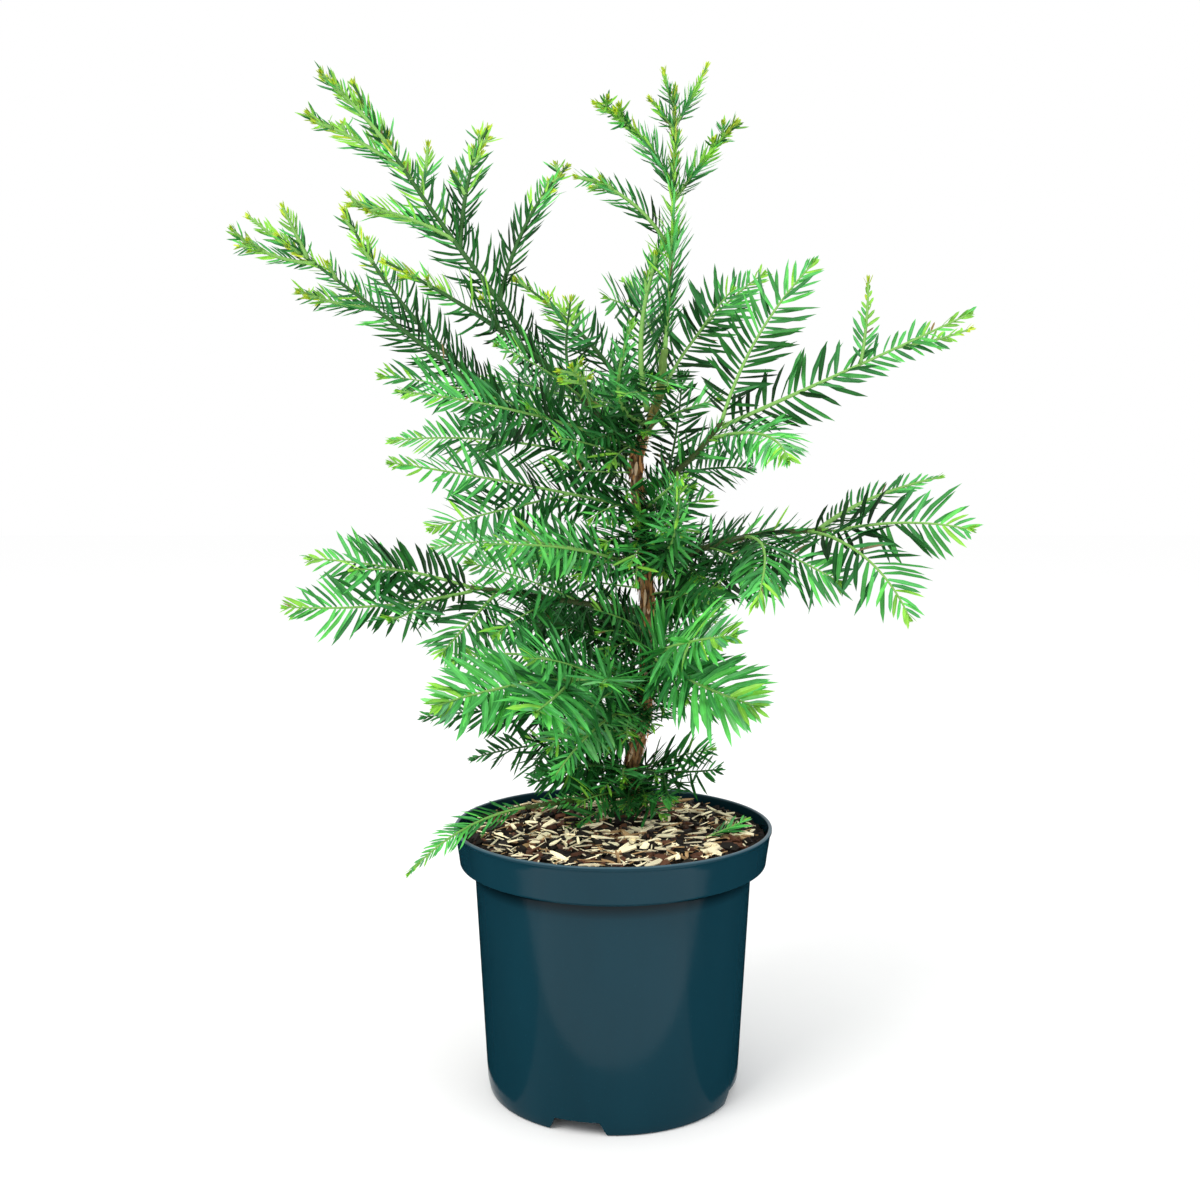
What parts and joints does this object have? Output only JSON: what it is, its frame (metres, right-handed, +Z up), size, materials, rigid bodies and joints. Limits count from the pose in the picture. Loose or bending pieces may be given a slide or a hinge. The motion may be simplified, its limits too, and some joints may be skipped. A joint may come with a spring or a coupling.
{
  "type": "potted young coast redwood tree",
  "caption": "Young coast redwood with a slim leaning trunk and open flat sprays of needles, rooted in a filled round plastic nursery pot.",
  "frame": {"origin": "centre of the pot's flat underside, on the ground", "axes": "+Z up the plant, -Y towards the front, +X to the right as seen from the front"},
  "size_m": [0.4174, 0.3082, 0.6016],
  "materials": {
    "pot_plastic": "dark blue-green, semi-gloss moulded",
    "potting_mix": "moist dark mix with wood and bark chips",
    "bark": "orange-brown flaking bark",
    "bough": "young olive and brown bark",
    "needles_fresh": "satin green needles",
    "needles_dark": "satin dark green needles",
    "needles_pale": "pale glaucous needles",
    "needles_tip": "yellow-green new growth"
  },
  "bodies": {
    "root": {"bough_back_high": "bough", "bough_back_low": "bough", "bough_foot_left": "bough", "bough_low_left": "bough", "bough_mid_right": "bough", "bough_over_rim": "bough", "bough_top_left": "bough", "bough_upper_left": "bough", "bough_upper_right": "bough", "leader": "needles_tip", "pot": "pot_plastic", "potting_mix": "potting_mix", "second_leader": "needles_fresh", "spray_back_foot": "needles_dark", "spray_back_high_a": "needles_fresh", "spray_back_high_b": "needles_fresh", "spray_back_left": "needles_fresh", "spray_back_low_a": "needles_fresh", "spray_back_low_b": "needles_dark", "spray_back_right": "needles_dark", "spray_back_top": "needles_fresh", "spray_centre_back": "needles_pale", "spray_centre_dark": "needles_dark", "spray_centre_front": "needles_fresh", "spray_centre_pale": "needles_pale", "spray_front_right": "needles_fresh", "spray_left_a": "needles_fresh", "spray_left_b": "needles_fresh", "spray_left_c": "needles_dark", "spray_left_d": "needles_fresh", "spray_left_e": "needles_fresh", "spray_left_f": "needles_fresh", "spray_left_g": "needles_dark", "spray_left_hanging": "needles_fresh", "spray_left_high": "needles_tip", "spray_left_high_back": "needles_fresh", "spray_left_high_front": "needles_fresh", "spray_low_left_back": "needles_dark", "spray_low_left_front": "needles_fresh", "spray_low_left_high": "needles_fresh", "spray_low_left_pale": "needles_pale", "spray_low_left_thin": "needles_dark", "spray_low_right": "needles_dark", "spray_low_right_front": "needles_fresh", "spray_over_rim": "needles_fresh", "spray_right_d": "needles_dark", "spray_right_drooping": "needles_fresh", "spray_right_e": "needles_fresh", "spray_right_f": "needles_fresh", "spray_right_g": "needles_dark", "spray_right_hanging": "needles_fresh", "spray_right_high_a": "needles_dark", "spray_right_high_b": "needles_fresh", "spray_right_high_c": "needles_fresh", "spray_right_thin": "needles_dark", "spray_star": "needles_pale", "spray_top_left": "needles_fresh", "sprig_at_foot": "needles_dark", "trunk": "bark"}
  },
  "joints": []
}
